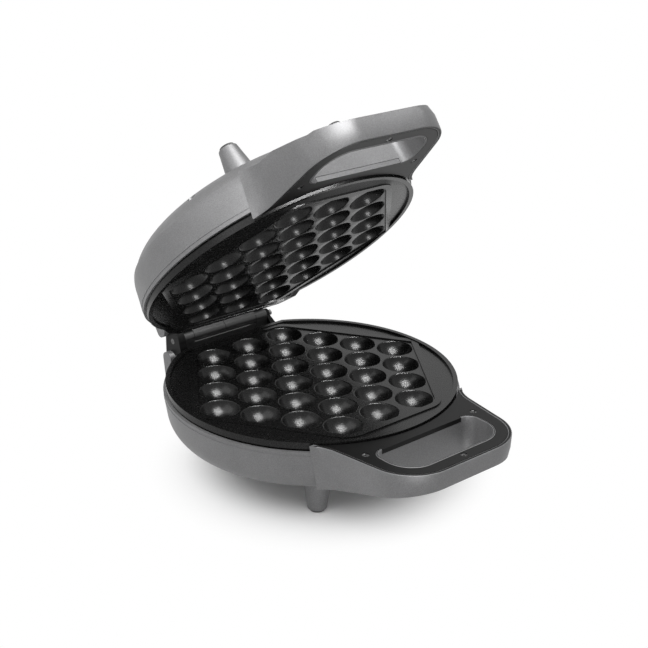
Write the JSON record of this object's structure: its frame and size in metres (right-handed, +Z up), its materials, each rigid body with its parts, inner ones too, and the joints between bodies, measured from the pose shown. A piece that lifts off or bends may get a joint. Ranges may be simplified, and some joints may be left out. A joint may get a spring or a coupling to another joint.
{
  "type": "bubble waffle maker",
  "caption": "Round table-top bubble waffle maker with two hinged non-stick plates, each in a grey housing with a looped front handle.",
  "frame": {"origin": "on the table, under the middle of the bounding box with the lid open as stored", "axes": "+Z up, +X along the hinge, -Y towards the handles"},
  "size_m": [0.1958, 0.2718, 0.2424],
  "materials": {
    "housing_paint": "satin fine metallic grey paint on plastic",
    "frame_plastic": "satin black",
    "non_stick": "cast, with a satin black non-stick coating",
    "heater_steel": "drawn steel",
    "shield_sheet": "plain rolled sheet",
    "foot_rubber": "matt",
    "bracket_paint": "satin black",
    "screw_steel": "blackened",
    "pin_steel": "ground",
    "ceramic": "unglazed ceramic",
    "board": "matt laminate",
    "red_lens": "clear red",
    "green_lens": "clear green"
  },
  "bodies": {
    "base": {"base_housing": "housing_paint", "base_handle_frame": "frame_plastic", "base_plate": "non_stick", "base_heater": "heater_steel", "base_heat_shield": "shield_sheet", "base_foot_tips": "foot_rubber", "base_hinge_bracket": "bracket_paint", "base_plate_screws": "screw_steel", "base_frame_screws": "screw_steel", "base_hinge_screws": "screw_steel", "hinge_pin": "pin_steel", "thermostat": "shield_sheet", "thermal_fuse": "ceramic", "terminal_block": "ceramic", "inlet_gland": "frame_plastic"},
    "lid": {"lid_housing": "housing_paint", "lid_handle_frame": "frame_plastic", "lid_plate": "non_stick", "lid_heater": "heater_steel", "lid_heat_shield": "shield_sheet", "lid_foot_tips": "foot_rubber", "lid_hinge_bracket": "bracket_paint", "lid_plate_screws": "screw_steel", "lid_frame_screws": "screw_steel", "lid_hinge_screws": "screw_steel", "lamp_board": "board", "power_lens": "red_lens", "ready_lens": "green_lens"}
  },
  "joints": [
    {"name": "lid_hinge", "type": "hinge", "parent": "base", "child": "lid", "pos_m": [0, 0.11045, 0.0615], "axis": [-1, 0, 0], "range_deg": [-45, 50]}
  ]
}
